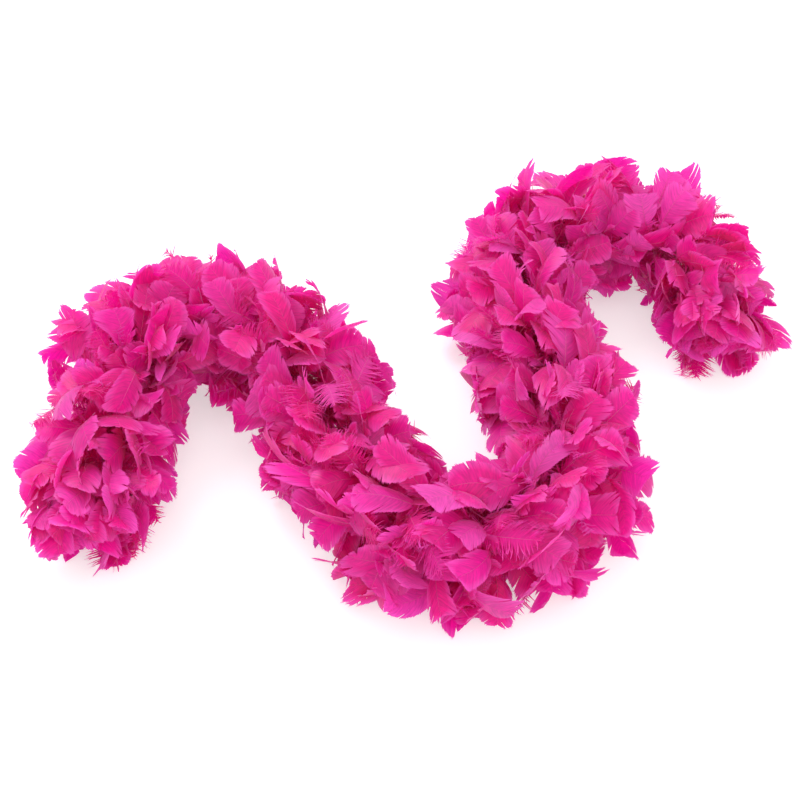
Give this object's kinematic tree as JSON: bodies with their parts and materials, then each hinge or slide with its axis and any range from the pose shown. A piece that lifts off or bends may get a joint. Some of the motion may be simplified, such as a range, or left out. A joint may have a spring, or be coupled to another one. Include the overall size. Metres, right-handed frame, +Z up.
{
  "type": "feather boa",
  "caption": "Limp feather boa, worn round the neck with a costume: broad and slim feathers wound round a cord that bends, laid in a loose S.",
  "frame": {"origin": "centre of the bounding box at the surface that the boa lies on", "axes": "+X along the longest side, from the boa's left end towards its right end; +Y away from a viewer who looks at it lying down; +Z up"},
  "size_m": [0.9648, 0.6911, 0.1716],
  "materials": {
    "broad_feather": "satin dyed feather, hot pink",
    "slim_feather": "satin dyed feather, hot pink, a little paler",
    "core_cord": "twisted cotton cord, dyed deep pink",
    "thread": "matte sewing thread, dyed deep pink"
  },
  "bodies": {
    "link_1": {"core_cord_1": "core_cord", "broad_feathers_1": "broad_feather", "slim_feathers_1": "slim_feather", "binding_thread_1": "thread", "left_end_knot": "core_cord", "left_hanging_loop": "core_cord", "left_whipping": "thread"},
    "link_2": {"core_cord_2": "core_cord", "broad_feathers_2": "broad_feather", "slim_feathers_2": "slim_feather", "binding_thread_2": "thread"},
    "link_3": {"core_cord_3": "core_cord", "broad_feathers_3": "broad_feather", "slim_feathers_3": "slim_feather", "binding_thread_3": "thread"},
    "link_4": {"core_cord_4": "core_cord", "broad_feathers_4": "broad_feather", "slim_feathers_4": "slim_feather", "binding_thread_4": "thread"},
    "link_5": {"core_cord_5": "core_cord", "broad_feathers_5": "broad_feather", "slim_feathers_5": "slim_feather", "binding_thread_5": "thread"},
    "link_6": {"core_cord_6": "core_cord", "broad_feathers_6": "broad_feather", "slim_feathers_6": "slim_feather", "binding_thread_6": "thread"},
    "link_7": {"core_cord_7": "core_cord", "broad_feathers_7": "broad_feather", "slim_feathers_7": "slim_feather", "binding_thread_7": "thread"},
    "link_8": {"core_cord_8": "core_cord", "broad_feathers_8": "broad_feather", "slim_feathers_8": "slim_feather", "binding_thread_8": "thread", "right_end_knot": "core_cord", "right_hanging_loop": "core_cord", "right_whipping": "thread"}
  },
  "joints": [
    {"name": "left_end_lift", "type": "hinge", "parent": "link_2", "child": "link_1", "pos_m": [-0.355, 0, 0.071], "axis": [-0.9889, 0.1483, 0], "range_deg": [0, 60], "deforming": ["broad_feathers_1", "slim_feathers_1", "broad_feathers_2", "slim_feathers_2"]},
    {"name": "left_arch_bend", "type": "hinge", "parent": "link_3", "child": "link_2", "pos_m": [-0.195, 0.04, 0.069], "axis": [0, 0, -1], "range_deg": [-20, 35], "deforming": ["broad_feathers_2", "slim_feathers_2", "broad_feathers_3", "slim_feathers_3"]},
    {"name": "left_slope_bend", "type": "hinge", "parent": "link_4", "child": "link_3", "pos_m": [-0.085, -0.135, 0.07], "axis": [0, 0, -1], "range_deg": [-45, 10], "deforming": ["broad_feathers_3", "slim_feathers_3", "broad_feathers_4", "slim_feathers_4"]},
    {"name": "middle_bend", "type": "hinge", "parent": "link_4", "child": "link_5", "pos_m": [0.075, -0.25, 0.071], "axis": [0, 0, 1], "range_deg": [-60, 5], "deforming": ["broad_feathers_4", "slim_feathers_4", "broad_feathers_5", "slim_feathers_5"]},
    {"name": "right_slope_bend", "type": "hinge", "parent": "link_5", "child": "link_6", "pos_m": [0.18, -0.095, 0.071], "axis": [0, 0, 1], "range_deg": [-45, 10], "deforming": ["broad_feathers_5", "slim_feathers_5", "broad_feathers_6", "slim_feathers_6"]},
    {"name": "right_arch_bend", "type": "hinge", "parent": "link_6", "child": "link_7", "pos_m": [0.145, 0.11, 0.07], "axis": [0, 0, 1], "range_deg": [-20, 35], "deforming": ["broad_feathers_6", "slim_feathers_6", "broad_feathers_7", "slim_feathers_7"]},
    {"name": "right_end_lift", "type": "hinge", "parent": "link_7", "child": "link_8", "pos_m": [0.265, 0.25, 0.07], "axis": [-0.7446, -0.6675, 0], "range_deg": [0, 60], "deforming": ["broad_feathers_7", "slim_feathers_7", "broad_feathers_8", "slim_feathers_8"]}
  ]
}
